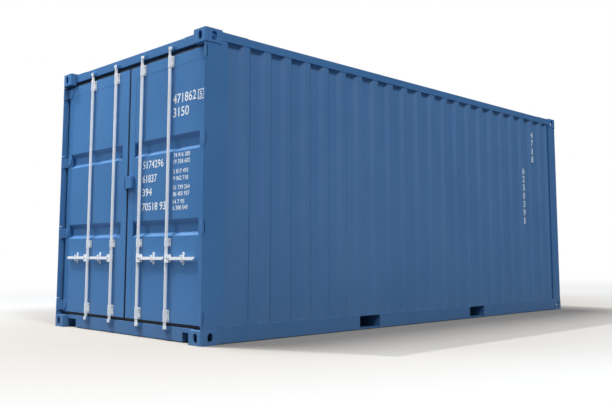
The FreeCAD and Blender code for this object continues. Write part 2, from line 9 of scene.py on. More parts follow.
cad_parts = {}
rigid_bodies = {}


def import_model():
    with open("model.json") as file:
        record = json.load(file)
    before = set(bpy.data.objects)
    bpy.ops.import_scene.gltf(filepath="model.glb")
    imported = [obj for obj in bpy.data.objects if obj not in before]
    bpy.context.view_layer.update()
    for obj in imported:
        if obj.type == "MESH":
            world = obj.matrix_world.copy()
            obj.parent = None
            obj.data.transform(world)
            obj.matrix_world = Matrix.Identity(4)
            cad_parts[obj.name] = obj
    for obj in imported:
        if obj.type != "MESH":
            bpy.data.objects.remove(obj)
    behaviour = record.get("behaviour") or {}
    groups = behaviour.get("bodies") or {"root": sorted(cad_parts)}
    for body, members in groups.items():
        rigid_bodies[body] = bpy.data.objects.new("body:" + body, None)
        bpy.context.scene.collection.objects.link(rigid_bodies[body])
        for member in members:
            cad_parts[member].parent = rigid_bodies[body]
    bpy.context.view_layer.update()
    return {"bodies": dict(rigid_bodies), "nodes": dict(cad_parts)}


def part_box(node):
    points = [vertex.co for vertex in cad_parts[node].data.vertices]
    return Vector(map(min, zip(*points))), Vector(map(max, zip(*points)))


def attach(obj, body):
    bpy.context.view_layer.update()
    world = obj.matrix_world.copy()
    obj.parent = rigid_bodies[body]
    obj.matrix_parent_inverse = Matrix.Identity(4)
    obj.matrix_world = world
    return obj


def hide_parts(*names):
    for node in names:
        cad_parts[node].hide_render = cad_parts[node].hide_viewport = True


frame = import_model()
scene = bpy.context.scene
print("frame loaded,", len(frame["nodes"]), "nodes")

sides = {"left": 1, "right": -1}  # which way y runs on each side
rodNames = ("inner", "outer")
rearX = -3.029  # the outermost plane at the doors
dice = random.Random(20)


def hexToLinear(code):
    shares = [int(code[i:i + 2], 16) / 255 for i in (1, 3, 5)]
    return [s / 12.92 if s <= 0.04045 else ((s + 0.055) / 1.055) ** 2.4 for s in shares] + [1.0]


# one node with its settings (sockets by name or number) and its links
def addNode(tree, kind, settings=None, links=None):
    node = tree.nodes.new(kind)
    for key, value in (settings or {}).items():
        if isinstance(key, int) or key in node.inputs:
            node.inputs[key].default_value = value
        else:
            setattr(node, key, value)
    for key, socket in (links or {}).items():
        tree.links.new(socket, node.inputs[key])
    return node


def newMaterial(name):
    material = bpy.data.materials.new(name)
    material.use_nodes = True
    tree = material.node_tree
    tree.nodes.clear()
    shader = addNode(tree, "ShaderNodeBsdfPrincipled")
    addNode(tree, "ShaderNodeOutputMaterial", links={"Surface": shader.outputs["BSDF"]})
    place = addNode(tree, "ShaderNodeTexCoord").outputs["Object"]
    return material, tree, shader, place


def finishPiece(name, bm, material, body, sharpAngle=35):
    mesh = bpy.data.meshes.new(name)
    bm.to_mesh(mesh)
    bm.free()
    mesh.materials.append(material)
    mesh.shade_smooth()
    mesh.set_sharp_from_angle(angle=math.radians(sharpAngle))
    piece = bpy.data.objects.new(name, mesh)
    scene.collection.objects.link(piece)
    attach(piece, body)
    return piece


# faces -x on the doors, whatever was built facing +z
faceDoorway = Matrix.Rotation(math.radians(-90), 4, "Y")

cameraLook = {
    "place": (-6.6491, -6.0104, 0.7156),
    "forward": (0.69965, 0.70637, 0.10741),
    "roll": 0.0018,
    "lens": 43.771,
    "shift": (0.0055, -0.0466),
}
cameraData = bpy.data.cameras.new("camera")
cameraData.sensor_width = 36
cameraData.lens = cameraLook["lens"]
cameraData.shift_x, cameraData.shift_y = cameraLook["shift"]
cameraData.clip_end = 400
camera = bpy.data.objects.new("camera", cameraData)
camera.location = cameraLook["place"]
aimed = Vector(cameraLook["forward"]).to_track_quat("-Z", "Y").to_matrix()
camera.rotation_euler = (aimed @ Matrix.Rotation(cameraLook["roll"], 3, "Z")).to_euler()
scene.collection.objects.link(camera)
scene.camera = camera
print("camera set")

lightLook = {
    "sunWay": (0.255, -0.552, -1.0),  # the way the light travels
    "sunStrength": 2.0,
    "sunAngle": 1.0,
    "overheadWay": (0.14, -0.30, -1.0),
    "overheadStrength": 3.3,
    "overheadAngle": 22.0,
    "skyLow": "#7b8796",
    "skyHigh": "#eef4fb",
    "skyStrength": 0.55,
    "skyAhead": 0.9,  # share of the sky on the doors' side
    "skyBehind": 0.45,
    # painted shade: the floor's colour close round the container, darker where its shadow falls
    "floorPaintedShade": "#9b9792",
    "floorShown": "#acacac",
    "floorGiven": "#666a70",
    "paintedShadeReach": (4.1, 2.3),  # half sizes of the painted shade round the container
}
scene.view_settings.view_transform = "Standard"


def addSun(name, way, strength, angle, colour):
    sunData = bpy.data.lights.new(name, "SUN")
    sunData.energy = strength
    sunData.angle = math.radians(angle)
    sunData.color = colour
    sun = bpy.data.objects.new(name, sunData)
    sun.rotation_euler = Vector(way).to_track_quat("-Z", "Y").to_euler()
    scene.collection.objects.link(sun)
    return sunData


# a sharp key, and a broad overhead bank that grades the shadow beside the wall
addSun("key_light", lightLook["sunWay"], lightLook["sunStrength"], lightLook["sunAngle"], (1.0, 0.975, 0.94))
addSun("overhead_bank", lightLook["overheadWay"], lightLook["overheadStrength"], lightLook["overheadAngle"],
       (0.96, 0.98, 1.0))

# large soft boxes: place, aim, size in metres, power in watts, whether highlights show them
softBoxes = {
    "door_softbox": ((-6.5, 4.0, 6.0), (-3.0, 0.0, 2.2), 3.0, 305, False),
    "side_softbox": ((-6.6, -19.3, 24.5), (0.0, -1.2, 1.5), 8.0, 5900, True),
}
for name, (place, aim, size, power, shines) in softBoxes.items():
    boxData = bpy.data.lights.new(name, "AREA")
    boxData.shape = "DISK"
    boxData.size = size
    boxData.energy = power
    box = bpy.data.objects.new(name, boxData)
    box.location = place
    box.rotation_euler = (Vector(aim) - Vector(place)).to_track_quat("-Z", "Y").to_euler()
    box.visible_camera = False
    box.visible_glossy = shines
    scene.collection.objects.link(box)

# a white studio wall to the eye, a softly graded sky to the paint
world = bpy.data.worlds.new("studio")
scene.world = world
world.use_nodes = True
sky = world.node_tree
sky.nodes.clear()
upward = addNode(sky, "ShaderNodeSeparateXYZ", links={
    0: addNode(sky, "ShaderNodeTexCoord").outputs["Generated"]})
height = addNode(sky, "ShaderNodeMapRange", {1: -0.1, 2: 0.9}, {0: upward.outputs["Z"]})
shade = addNode(sky, "ShaderNodeMix", {
    "data_type": "RGBA", 6: hexToLinear(lightLook["skyLow"]), 7: hexToLinear(lightLook["skyHigh"]),
}, {0: height.outputs[0]})
share = addNode(sky, "ShaderNodeMapRange", {
    1: -0.7, 2: 0.6, 3: lightLook["skyStrength"] * lightLook["skyAhead"],
    4: lightLook["skyStrength"] * lightLook["skyBehind"]}, {0: upward.outputs["X"]})
given = addNode(sky, "ShaderNodeBackground", links={"Color": shade.outputs[2], "Strength": share.outputs[0]})
shown = addNode(sky, "ShaderNodeBackground", {"Color": (1, 1, 1, 1), "Strength": 1.0})
seen = addNode(sky, "ShaderNodeLightPath").outputs["Is Camera Ray"]
studio = addNode(sky, "ShaderNodeMixShader", links={0: seen, 1: given.outputs[0], 2: shown.outputs[0]})
addNode(sky, "ShaderNodeOutputWorld", links={"Surface": studio.outputs[0]})

# matt pale studio floor, seen lighter than the light it hands back, with painted shade close round the
# container
floorMesh = bpy.data.meshes.new("studio_floor")
bm = bmesh.new()
bmesh.ops.create_circle(bm, cap_ends=True, segments=96, radius=120)
bm.to_mesh(floorMesh)
bm.free()
studioFloor = bpy.data.objects.new("studio_floor", floorMesh)
scene.collection.objects.link(studioFloor)
floorPaint, tree, shader, place = newMaterial("matt studio floor")
tree.nodes.remove(shader)
seen = addNode(tree, "ShaderNodeLightPath").outputs["Is Camera Ray"]
# painted shade: close round the container the floor is seen darker, fading out to the plain floor further off
reachX, reachY = lightLook["paintedShadeReach"]
shrunk = addNode(tree, "ShaderNodeMapping", {"Scale": (1 / reachX, 1 / reachY, 0.0)}, {"Vector": place})
away = addNode(tree, "ShaderNodeVectorMath", {"operation": "LENGTH"}, {0: shrunk.outputs[0]})
paintedShadeShare = addNode(tree, "ShaderNodeMapRange", {1: 0.9, 2: 1.9}, {0: away.outputs["Value"]})
paintedShadePatch = addNode(tree, "ShaderNodeMix", {
    "data_type": "RGBA", 6: hexToLinear(lightLook["floorPaintedShade"]), 7: hexToLinear(lightLook["floorShown"]),
}, {0: paintedShadeShare.outputs[0]})
tone = addNode(tree, "ShaderNodeMix", {"data_type": "RGBA", 6: hexToLinear(lightLook["floorGiven"])}, {
    0: seen, 7: paintedShadePatch.outputs[2]})
matt = addNode(tree, "ShaderNodeBsdfDiffuse", links={"Color": tone.outputs[2]})
# further out it turns into the white of the wall behind
farShare = addNode(tree, "ShaderNodeMapRange", {1: 1.7, 2: 4.6, "interpolation_type": "SMOOTHSTEP"}, {
    0: away.outputs["Value"]})
fade = addNode(tree, "ShaderNodeMath", {"operation": "MULTIPLY"}, {0: farShare.outputs[0], 1: seen})
glow = addNode(tree, "ShaderNodeEmission", {"Color": (1, 1, 1, 1), "Strength": 1.0})
blend = addNode(tree, "ShaderNodeMixShader", links={
    0: fade.outputs[0], 1: matt.outputs[0], 2: glow.outputs[0]})
tree.links.new(blend.outputs[0], tree.nodes["Material Output"].inputs["Surface"])
floorMesh.materials.append(floorPaint)
print("light and floor set")


# sprayed enamel over primed steel: a satin film, faintly uneven in shade, with a fine orange peel
# and, on big sheets, a slow waviness that bends the reflections
def enamel(name, look):
    material, tree, shader, place = newMaterial(name)
    cloud = addNode(tree, "ShaderNodeTexNoise", {"Scale": 1.3, "Detail": 3.0}, {"Vector": place})
    cloudShare = addNode(tree, "ShaderNodeMapRange", {1: 0.35, 2: 0.65, 4: 0.55}, {0: cloud.outputs[0]})
    tint = addNode(tree, "ShaderNodeMix", {
        "data_type": "RGBA", 6: hexToLinear(look["colour"]), 7: hexToLinear(look["lighter"]),
    }, {0: cloudShare.outputs[0]})
    # rain streaks, a tenth of a metre apart and over a metre long
    stretched = addNode(tree, "ShaderNodeMapping", {"Scale": (11.0, 11.0, 0.7)}, {"Vector": place})
    streak = addNode(tree, "ShaderNodeTexNoise", {"Scale": 1.0, "Detail": 4.0}, {
        "Vector": stretched.outputs[0]})
    streakShare = addNode(tree, "ShaderNodeMapRange", {1: 0.5, 2: 0.75, 4: look["streaks"]}, {
        0: streak.outputs[0]})
    washed = addNode(tree, "ShaderNodeMix", {"data_type": "RGBA", 7: hexToLinear("#5f7f9f")}, {
        0: streakShare.outputs[0], 6: tint.outputs[2]})
    # road dust on the lowest hand's breadth
    level = addNode(tree, "ShaderNodeSeparateXYZ", links={0: place})
    low = addNode(tree, "ShaderNodeMapRange", {1: 0.32, 2: 0.0, 4: 0.5}, {0: level.outputs["Z"]})
    grit = addNode(tree, "ShaderNodeTexNoise", {"Scale": 34.0, "Detail": 6.0}, {"Vector": place})
    dust = addNode(tree, "ShaderNodeMath", {"operation": "MULTIPLY"}, {0: low.outputs[0], 1: grit.outputs[0]})
    dusty = addNode(tree, "ShaderNodeMix", {"data_type": "RGBA", 7: hexToLinear("#64798f")}, {
        0: dust.outputs[0], 6: washed.outputs[2]})
    tree.links.new(dusty.outputs[2], shader.inputs["Base Color"])
    gloss = addNode(tree, "ShaderNodeTexNoise", {"Scale": 6.0, "Detail": 4.0}, {"Vector": place})
    dull = addNode(tree, "ShaderNodeMapRange", {
        1: 0.3, 2: 0.7, 3: look["roughness"] - 0.05, 4: look["roughness"] + 0.06}, {0: gloss.outputs[0]})
    tree.links.new(dull.outputs[0], shader.inputs["Roughness"])
    wave = addNode(tree, "ShaderNodeTexNoise", {"Scale": 2.2, "Detail": 1.0}, {"Vector": place})
    buckle = addNode(tree, "ShaderNodeBump", {"Strength": 0.5, "Distance": look["waves"]}, {
        "Height": wave.outputs[0]})
    # the real peel is about 2 mm across; it is drawn at 5 mm so that it shows
    peel = addNode(tree, "ShaderNodeTexNoise", {"Scale": look["peelScale"], "Detail": 2.0}, {"Vector": place})
    skin = addNode(tree, "ShaderNodeBump", {"Strength": 0.35, "Distance": look["peel"]}, {
        "Height": peel.outputs[0], "Normal": buckle.outputs[0]})
    tree.links.new(skin.outputs[0], shader.inputs["Normal"])
    shader.inputs["IOR"].default_value = 1.5
    return material


sheetPaint = enamel("satin enamel on corrugated sheet steel", {
    "colour": "#4773a3", "lighter": "#4f7bab", "streaks": 0.22, "roughness": 0.42,
    "waves": 0.012, "peelScale": 200.0, "peel": 0.0005})
doorPaint = enamel("satin enamel on pressed door sheet", {
    "colour": "#4277ad", "lighter": "#487eb4", "streaks": 0.16, "roughness": 0.4,
    "waves": 0.010, "peelScale": 200.0, "peel": 0.0005})
framePaint = enamel("satin enamel on folded plate", {
    "colour": "#3f70a4", "lighter": "#4778ac", "streaks": 0.12, "roughness": 0.4,
    "waves": 0.004, "peelScale": 220.0, "peel": 0.0005})
# sand-cast steel keeps its grain under the paint
castingPaint = enamel("satin enamel on cast steel", {
    "colour": "#4173a8", "lighter": "#4a7cb0", "streaks": 0.08, "roughness": 0.46,
    "waves": 0.003, "peelScale": 120.0, "peel": 0.0016})
hardwarePaint = enamel("satin enamel on forged fittings", {
    "colour": "#4577ac", "lighter": "#4b7eb3", "streaks": 0.05, "roughness": 0.42,
    "waves": 0.002, "peelScale": 160.0, "peel": 0.001})
# paint over the ripples of a hand-laid weld
weldPaint = enamel("satin enamel on weld bead", {
    "colour": "#3c6c9f", "lighter": "#4474a8", "streaks": 0.05, "roughness": 0.45,
    "waves": 0.002, "peelScale": 150.0, "peel": 0.004})


# hot-dip galvanised steel: pale dull zinc in frost-like spangles a centimetre across
def galvanised(name):
    material, tree, shader, place = newMaterial(name)
    spangle = addNode(tree, "ShaderNodeTexVoronoi", {"Scale": 90.0}, {"Vector": place})
    grey = addNode(tree, "ShaderNodeSeparateColor", links={0: spangle.outputs["Color"]})
    tint = addNode(tree, "ShaderNodeMix", {
        "data_type": "RGBA", 6: hexToLinear("#eef2f5"), 7: hexToLinear("#fbfcfd"),
    }, {0: grey.outputs[0]})
    bloom = addNode(tree, "ShaderNodeTexNoise", {"Scale": 14.0, "Detail": 4.0}, {"Vector": place})
    bloomShare = addNode(tree, "ShaderNodeMapRange", {1: 0.55, 2: 0.8, 4: 0.5}, {0: bloom.outputs[0]})
    aged = addNode(tree, "ShaderNodeMix", {"data_type": "RGBA", 7: hexToLinear("#e0e5ea")}, {
        0: bloomShare.outputs[0], 6: tint.outputs[2]})
    tree.links.new(aged.outputs[2], shader.inputs["Base Color"])
    dull = addNode(tree, "ShaderNodeMapRange", {3: 0.38, 4: 0.58}, {0: grey.outputs[1]})
    tree.links.new(dull.outputs[0], shader.inputs["Roughness"])
    rough = addNode(tree, "ShaderNodeTexNoise", {"Scale": 260.0, "Detail": 3.0}, {"Vector": place})
    skin = addNode(tree, "ShaderNodeBump", {"Strength": 0.3, "Distance": 0.0004}, {
        "Height": rough.outputs[0]})
    tree.links.new(skin.outputs[0], shader.inputs["Normal"])
    shader.inputs["Metallic"].default_value = 0.1  # zinc under a chalky skin of oxide
    return material


zincSteel = galvanised("hot-dip galvanised steel")


# zinc-plated fasteners: a thin bright plating, brushed by the spanner
def platedZinc(name):
    material, tree, shader, place = newMaterial(name)
    scuff = addNode(tree, "ShaderNodeTexNoise", {"Scale": 320.0, "Detail": 3.0}, {"Vector": place})
    tint = addNode(tree, "ShaderNodeMix", {
        "data_type": "RGBA", 6: hexToLinear("#9fa5ab"), 7: hexToLinear("#d5d9dc"),
    }, {0: scuff.outputs[0]})
    tree.links.new(tint.outputs[2], shader.inputs["Base Color"])
    dull = addNode(tree, "ShaderNodeMapRange", {3: 0.3, 4: 0.5}, {0: scuff.outputs[0]})
    tree.links.new(dull.outputs[0], shader.inputs["Roughness"])
    shader.inputs["Metallic"].default_value = 1.0
    return material


boltZinc = platedZinc("zinc-plated fastener steel")


# extruded rubber seal: near black, dull, with a dry grey bloom
def sealRubber(name):
    material, tree, shader, place = newMaterial(name)
    bloom = addNode(tree, "ShaderNodeTexNoise", {"Scale": 9.0, "Detail": 5.0}, {"Vector": place})
    tint = addNode(tree, "ShaderNodeMix", {
        "data_type": "RGBA", 6: hexToLinear("#0d0e10"), 7: hexToLinear("#26282b"),
    }, {0: bloom.outputs[0]})
    tree.links.new(tint.outputs[2], shader.inputs["Base Color"])
    dull = addNode(tree, "ShaderNodeMapRange", {3: 0.6, 4: 0.8}, {0: bloom.outputs[0]})
    tree.links.new(dull.outputs[0], shader.inputs["Roughness"])
    grain = addNode(tree, "ShaderNodeTexNoise", {"Scale": 400.0, "Detail": 2.0}, {"Vector": place})
    skin = addNode(tree, "ShaderNodeBump", {"Strength": 0.2, "Distance": 0.0004}, {
        "Height": grain.outputs[0]})
    tree.links.new(skin.outputs[0], shader.inputs["Normal"])
    shader.inputs["IOR"].default_value = 1.52
    return material


doorRubber = sealRubber("extruded door seal rubber")


# hardwood plywood, oiled: long reddish-brown grain, each board a shade of its own
def floorPlywood(name):
    material, tree, shader, place = newMaterial(name)
    stretched = addNode(tree, "ShaderNodeMapping", {"Scale": (1.1, 34.0, 34.0)}, {"Vector": place})
    grain = addNode(tree, "ShaderNodeTexNoise", {"Scale": 1.0, "Detail": 8.0, "Distortion": 0.6}, {
        "Vector": stretched.outputs[0]})
    grainShare = addNode(tree, "ShaderNodeMapRange", {1: 0.3, 2: 0.7}, {0: grain.outputs[0]})
    tint = addNode(tree, "ShaderNodeMix", {
        "data_type": "RGBA", 6: hexToLinear("#5a3722"), 7: hexToLinear("#94653f"),
    }, {0: grainShare.outputs[0]})
    boardPlace = addNode(tree, "ShaderNodeMapping", {
        "Location": (7.03, 5.0, 0.0), "Scale": (0.497, 0.857, 0.0)}, {"Vector": place})
    boardNumber = addNode(tree, "ShaderNodeVectorMath", {"operation": "FLOOR"}, {0: boardPlace.outputs[0]})
    shadeOf = addNode(tree, "ShaderNodeTexWhiteNoise", links={"Vector": boardNumber.outputs[0]})
    shadeShare = addNode(tree, "ShaderNodeMapRange", {4: 0.4}, {0: shadeOf.outputs[0]})
    toned = addNode(tree, "ShaderNodeMix", {"data_type": "RGBA", 7: hexToLinear("#6d4a30")}, {
        0: shadeShare.outputs[0], 6: tint.outputs[2]})
    tree.links.new(toned.outputs[2], shader.inputs["Base Color"])
    dull = addNode(tree, "ShaderNodeMapRange", {3: 0.45, 4: 0.65}, {0: grain.outputs[0]})
    tree.links.new(dull.outputs[0], shader.inputs["Roughness"])
    pores = addNode(tree, "ShaderNodeBump", {"Strength": 0.4, "Distance": 0.0008}, {
        "Height": grain.outputs[0]})
    tree.links.new(pores.outputs[0], shader.inputs["Normal"])
    return material


plywood = floorPlywood("oiled hardwood plywood")


# cut vinyl film: clean white, slightly scuffed
def cutVinyl(name):
    material, tree, shader, place = newMaterial(name)
    scuff = addNode(tree, "ShaderNodeTexNoise", {"Scale": 60.0, "Detail": 6.0}, {"Vector": place})
    share = addNode(tree, "ShaderNodeMapRange", {1: 0.58, 2: 0.8, 4: 0.45}, {0: scuff.outputs[0]})
    tint = addNode(tree, "ShaderNodeMix", {
        "data_type": "RGBA", 6: hexToLinear("#f2f5f7"), 7: hexToLinear("#b4c4d6"),
    }, {0: share.outputs[0]})
    tree.links.new(tint.outputs[2], shader.inputs["Base Color"])
    dull = addNode(tree, "ShaderNodeMapRange", {3: 0.35, 4: 0.5}, {0: scuff.outputs[0]})
    tree.links.new(dull.outputs[0], shader.inputs["Roughness"])
    return material


whiteVinyl = cutVinyl("cut white vinyl film")

finishOf = {
    "casting_paint": castingPaint, "frame_paint": framePaint, "wall_paint": sheetPaint,
    "door_paint": doorPaint, "hardware_paint": hardwarePaint, "galvanised_steel": zincSteel,
    "door_rubber": doorRubber, "floor_wood": plywood,
}
nodeFinish = {
    "casting_paint": ("corner_castings_",),
    "frame_paint": ("rear_post_", "front_post_", "top_rail_", "bottom_rail_", "door_header", "door_sill",
                    "front_header", "front_sill", "floor_cross", "fork_pockets", "roof_corner"),
    "wall_paint": ("side_wall_", "front_wall", "roof_panel"),
    "door_paint": ("door_frame_", "door_panel_"),
    "door_rubber": ("door_gasket_",),
    "hardware_paint": ("door_hinges_", "hinge_pins_", "lock_box_", "cam_keepers"),
    "galvanised_steel": ("rod_brackets_", "handle_", "lock_rod_"),
    "floor_wood": ("floor_deck",),
}
for slotName, starts in nodeFinish.items():
    for name, node in frame["nodes"].items():
        if name.startswith(starts):
            for materialSlot in node.material_slots:
                materialSlot.material = finishOf[slotName]
print("finishes given")

# how far each solid's edges are rounded over, as folded, rolled and cast steel has them; a corrugated
# sheet is rounded at its bends alone
edgeRounds = {
    "corner_castings_": 0.005, "rear_post_": 0.0015, "front_post_": 0.002, "top_rail_": 0.003,
    "bottom_rail_": 0.0022, "door_header": 0.0022, "door_sill": 0.0022, "front_header": 0.0022,
    "front_sill": 0.0022, "door_frame_": 0.0008, "door_hinges_": 0.0015, "lock_box_": 0.0018,
    "cam_keepers": 0.001, "rod_brackets_": 0.001, "handle_": 0.0012, "lock_rod_": 0.0008,
    "hinge_pins_": 0.001, "roof_corner": 0.0008,
}
bendRounds = {"side_wall_": 0.0035, "front_wall": 0.004, "roof_panel": 0.003, "door_panel_": 0.004}
bodyOf = {empty: body for body, empty in frame["bodies"].items()}


# the door frames stay sharp where the panels are welded in flush
def inOpening(name, edge):
    inside = [0.1 < abs(vertex.co.y) < 1.1 and 0.2 < vertex.co.z < 2.4 for vertex in edge.verts]
    return name.startswith("door_frame_") and all(inside)


def roundedCopy(name, slotName, width, least, most, segments, shortest):
    node = frame["nodes"][name]
    bm = bmesh.new()
    bm.from_mesh(node.data)
    bm.transform(node.matrix_world)
    bmesh.ops.remove_doubles(bm, verts=bm.verts, dist=0.00001)
    bmesh.ops.dissolve_limit(bm, angle_limit=math.radians(1), verts=bm.verts, edges=bm.edges)
    turned = [edge for edge in bm.edges if math.radians(least) < edge.calc_face_angle(0) < math.radians(most)]
    chosen = [edge for edge in turned if edge.calc_length() > shortest and not inOpening(name, edge)]
    bmesh.ops.bevel(bm, geom=chosen, offset=width, affect="EDGES", segments=segments, profile=0.5,
                    material=-1, clamp_overlap=most > 100)
    piece = finishPiece(name + "_rounded", bm, finishOf[slotName], bodyOf[node.parent], 50)
    piece.modifiers.new("flat faces stay flat", "WEIGHTED_NORMAL").keep_sharp = True
    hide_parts(name)


for slotName, starts in nodeFinish.items():
    for name in sorted(frame["nodes"]):
        if name.startswith(starts):
            for start, width in edgeRounds.items():
                if name.startswith(start):
                    roundedCopy(name, slotName, width, 35, 181, 2, 0.0)
            for start, width in bendRounds.items():
                if name.startswith(start):
                    roundedCopy(name, slotName, width, 25, 75, 3, 0.3)
print("edges rounded")


# a washer and a six-sided head on a face that looks to -x
def addBolt(bm, spot, size):
    x, y, z = spot
    washer = bmesh.ops.create_cone(bm, cap_ends=True, segments=16, radius1=size * 1.3, radius2=size * 1.18,
                                   depth=size * 0.3)["verts"]
    bmesh.ops.transform(bm, matrix=Matrix.Translation((x - size * 0.15, y, z)) @ faceDoorway, verts=washer)
    head = bmesh.ops.create_cone(bm, cap_ends=True, segments=6, radius1=size, radius2=size * 0.9,
                                 depth=size * 0.7)["verts"]
    bmesh.ops.transform(bm, matrix=Matrix.Translation((x - size * 0.6, y, z)) @ faceDoorway, verts=head)


# a countersunk head that barely stands out, where a handle sweeps over it
def addFlushScrew(bm, spot, size):
    head = bmesh.ops.create_cone(bm, cap_ends=True, segments=20, radius1=size, radius2=size * 0.88,
                                 depth=0.0014)["verts"]
    bmesh.ops.transform(bm, matrix=Matrix.Translation(spot) @ faceDoorway, verts=head)


# a low domed head, half sunk into its face; thin tells which axis it is flat along
def addRivet(bm, spot, size, thin=0):
    head = bmesh.ops.create_uvsphere(bm, u_segments=12, v_segments=6, radius=size)["verts"]
    bmesh.ops.scale(bm, vec=[0.5 if axis == thin else 1.0 for axis in range(3)], verts=head)
    bmesh.ops.translate(bm, vec=spot, verts=head)


def rodPlace(rodName, sideName):
    low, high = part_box("lock_rod_%s_%s" % (rodName, sideName))
    return low.y + 0.015 if sides[sideName] > 0 else high.y - 0.015


handleLevel = sum(corner.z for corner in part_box("handle_inner_left")) / 2 - 0.007
doorFace = rearX + 0.055

# four bolts on each bracket, two flush screws on each retainer
bracketBolts = {"ends": (0.205, 2.397), "rise": 0.033, "middle": 0.135, "middleRise": 0.022, "across": 0.0285,
                "size": 0.0066, "retainer": 0.228, "retainerRise": 0.038, "screw": 0.0078}
for sideName, way in sides.items():
    bm = bmesh.new()
    for rodName in rodNames:
        rodY = rodPlace(rodName, sideName)
        levels = [(level, bracketBolts["rise"]) for level in bracketBolts["ends"]]
        levels.append((handleLevel + bracketBolts["middle"], bracketBolts["middleRise"]))
        for level, rise in levels:
            for up in (-rise, rise):
                for across in (-bracketBolts["across"], bracketBolts["across"]):
                    addBolt(bm, (doorFace - 0.004, rodY + across, level + up), bracketBolts["size"])
        for up in (-bracketBolts["retainerRise"], bracketBolts["retainerRise"]):
            spot = (doorFace - 0.004, rodY + way * bracketBolts["retainer"], handleLevel + up)
            addFlushScrew(bm, spot, bracketBolts["screw"])
    finishPiece("bracket_bolts_" + sideName, bm, boltZinc, sideName + "_door")
print("bracket bolts made")

# the riveted head and washer of each handle's pin, on the fork's outer cheek
pinHeads = {"away": 0.035, "cheek": 0.0215, "washer": 0.0105, "thick": 0.0016, "head": 0.0065}
for sideName, way in sides.items():
    for rodName in rodNames:
        bm = bmesh.new()
        pinY = rodPlace(rodName, sideName) + way * pinHeads["away"]
        spot = Vector((rearX + pinHeads["cheek"], pinY, handleLevel))
        washer = bmesh.ops.create_cone(bm, cap_ends=True, segments=20, radius1=pinHeads["washer"],
                                       radius2=pinHeads["washer"] - 0.001, depth=pinHeads["thick"])["verts"]
        middle = spot - Vector((pinHeads["thick"] / 2, 0, 0))
        bmesh.ops.transform(bm, matrix=Matrix.Translation(middle) @ faceDoorway, verts=washer)
        addRivet(bm, spot - Vector((pinHeads["thick"], 0, 0)), pinHeads["head"])
        finishPiece("handle_pin_head_%s_%s" % (rodName, sideName), bm, boltZinc,
                    "%s_%s_rod" % (rodName, sideName))
print("pin heads made")


# the points along a line, never further apart than gap
def spaced(line, gap):
    points = [Vector(line[0])]
    for start, stop in zip(line, line[1:]):
        start, stop = Vector(start), Vector(stop)
        steps = max(1, math.ceil((stop - start).length / gap))
        points += [start.lerp(stop, (i + 1) / steps) for i in range(steps)]
    return points


# weld beads along the lines; each swells and thins like one laid by hand
def layBeads(name, body, lines, radius, gap=0.016):
    curve = bpy.data.curves.new(name, "CURVE")
    curve.dimensions = "3D"
    curve.bevel_depth = radius
    curve.bevel_resolution = 1
    curve.use_fill_caps = True
    for line in lines:
        points = spaced(line, gap)
        spline = curve.splines.new("POLY")
        spline.points.add(len(points) - 1)
        for point, place in zip(spline.points, points):
            point.co = (*place, 1.0)
            point.radius = dice.uniform(0.82, 1.12)
    holder = bpy.data.objects.new(name, curve)
    drawn = bpy.data.meshes.new_from_object(holder)
    bm = bmesh.new()
    bm.from_mesh(drawn)
    bmesh.ops.recalc_face_normals(bm, faces=bm.faces)
    bpy.data.objects.remove(holder)
    bpy.data.curves.remove(curve)
    bpy.data.meshes.remove(drawn)
    return finishPiece(name, bm, weldPaint, body, 60)


# the outer face of a side wall, from the rear post to the front post
wallRun = {"start": 0.242, "stop": 5.872, "pitch": 0.248, "ridge": 0.072, "slope": 0.036, "depth": 0.030,
           "face": 1.209, "bottom": 0.140, "top": 2.506}


def wallLine(way, z):
    depth, slope, lastRidge = wallRun["depth"], wallRun["slope"], wallRun["stop"] - 0.046
    run = [(wallRun["start"], depth)]
    edge = wallRun["start"] + wallRun["pitch"]
    while edge + 2 * slope < lastRidge:
        run += [(edge - wallRun["ridge"] - slope, depth), (edge - wallRun["ridge"], 0.0)]
        run += [(edge, 0.0), (edge + slope, depth)]
        edge += wallRun["pitch"]
    run += [(lastRidge - slope, depth), (lastRidge, 0.0), (lastRidge + 0.008, 0.0)]
    run += [(lastRidge + 0.012, depth), (wallRun["stop"], depth)]
    return [(rearX + along, way * (wallRun["face"] - deep), z) for along, deep in run]


# even ridges from start to stop, what is left over shared between the ends
def waveRun(start, stop, pitch, ridge, slope, depth):
    count = int((stop - start) // pitch)
    margin = (stop - start - count * pitch + pitch - ridge - 2 * slope) / 2
    run = [(start, depth)]
    for i in range(count):
        along = start + margin + i * pitch
        run += [(along, depth), (along + slope, 0.0), (along + slope + ridge, 0.0)]
        run.append((along + 2 * slope + ridge, depth))
    return run + [(stop, depth)]


for sideName, way in sides.items():
    lines = [wallLine(way, wallRun["bottom"] + 0.001), wallLine(way, wallRun["top"] - 0.001)]
    trough = way * (wallRun["face"] - wallRun["depth"])
    for along in (wallRun["start"] + 0.001, wallRun["stop"] - 0.001):
        lines.append([(rearX + along, trough, wallRun["bottom"]), (rearX + along, trough, wallRun["top"])])
    layBeads("side_wall_welds_" + sideName, "container", lines, 0.0034)

frontSheet = {"half": 1.133, "pitch": 0.250, "ridge": 0.089, "slope": 0.036, "depth": 0.040,
              "face": 3.015, "bottom": 0.118, "top": 2.473}
frontRun = waveRun(-frontSheet["half"], frontSheet["half"], frontSheet["pitch"], frontSheet["ridge"],
                   frontSheet["slope"], frontSheet["depth"])
lines = [[(frontSheet["face"] - deep, across, z) for across, deep in frontRun]
         for z in (frontSheet["bottom"] + 0.001, frontSheet["top"] - 0.001)]
trough, edge = frontSheet["face"] - frontSheet["depth"], frontSheet["half"] - 0.001
lines += [[(trough, across, frontSheet["bottom"]), (trough, across, frontSheet["top"])]
          for across in (-edge, edge)]
layBeads("front_wall_welds", "container", lines, 0.0034)

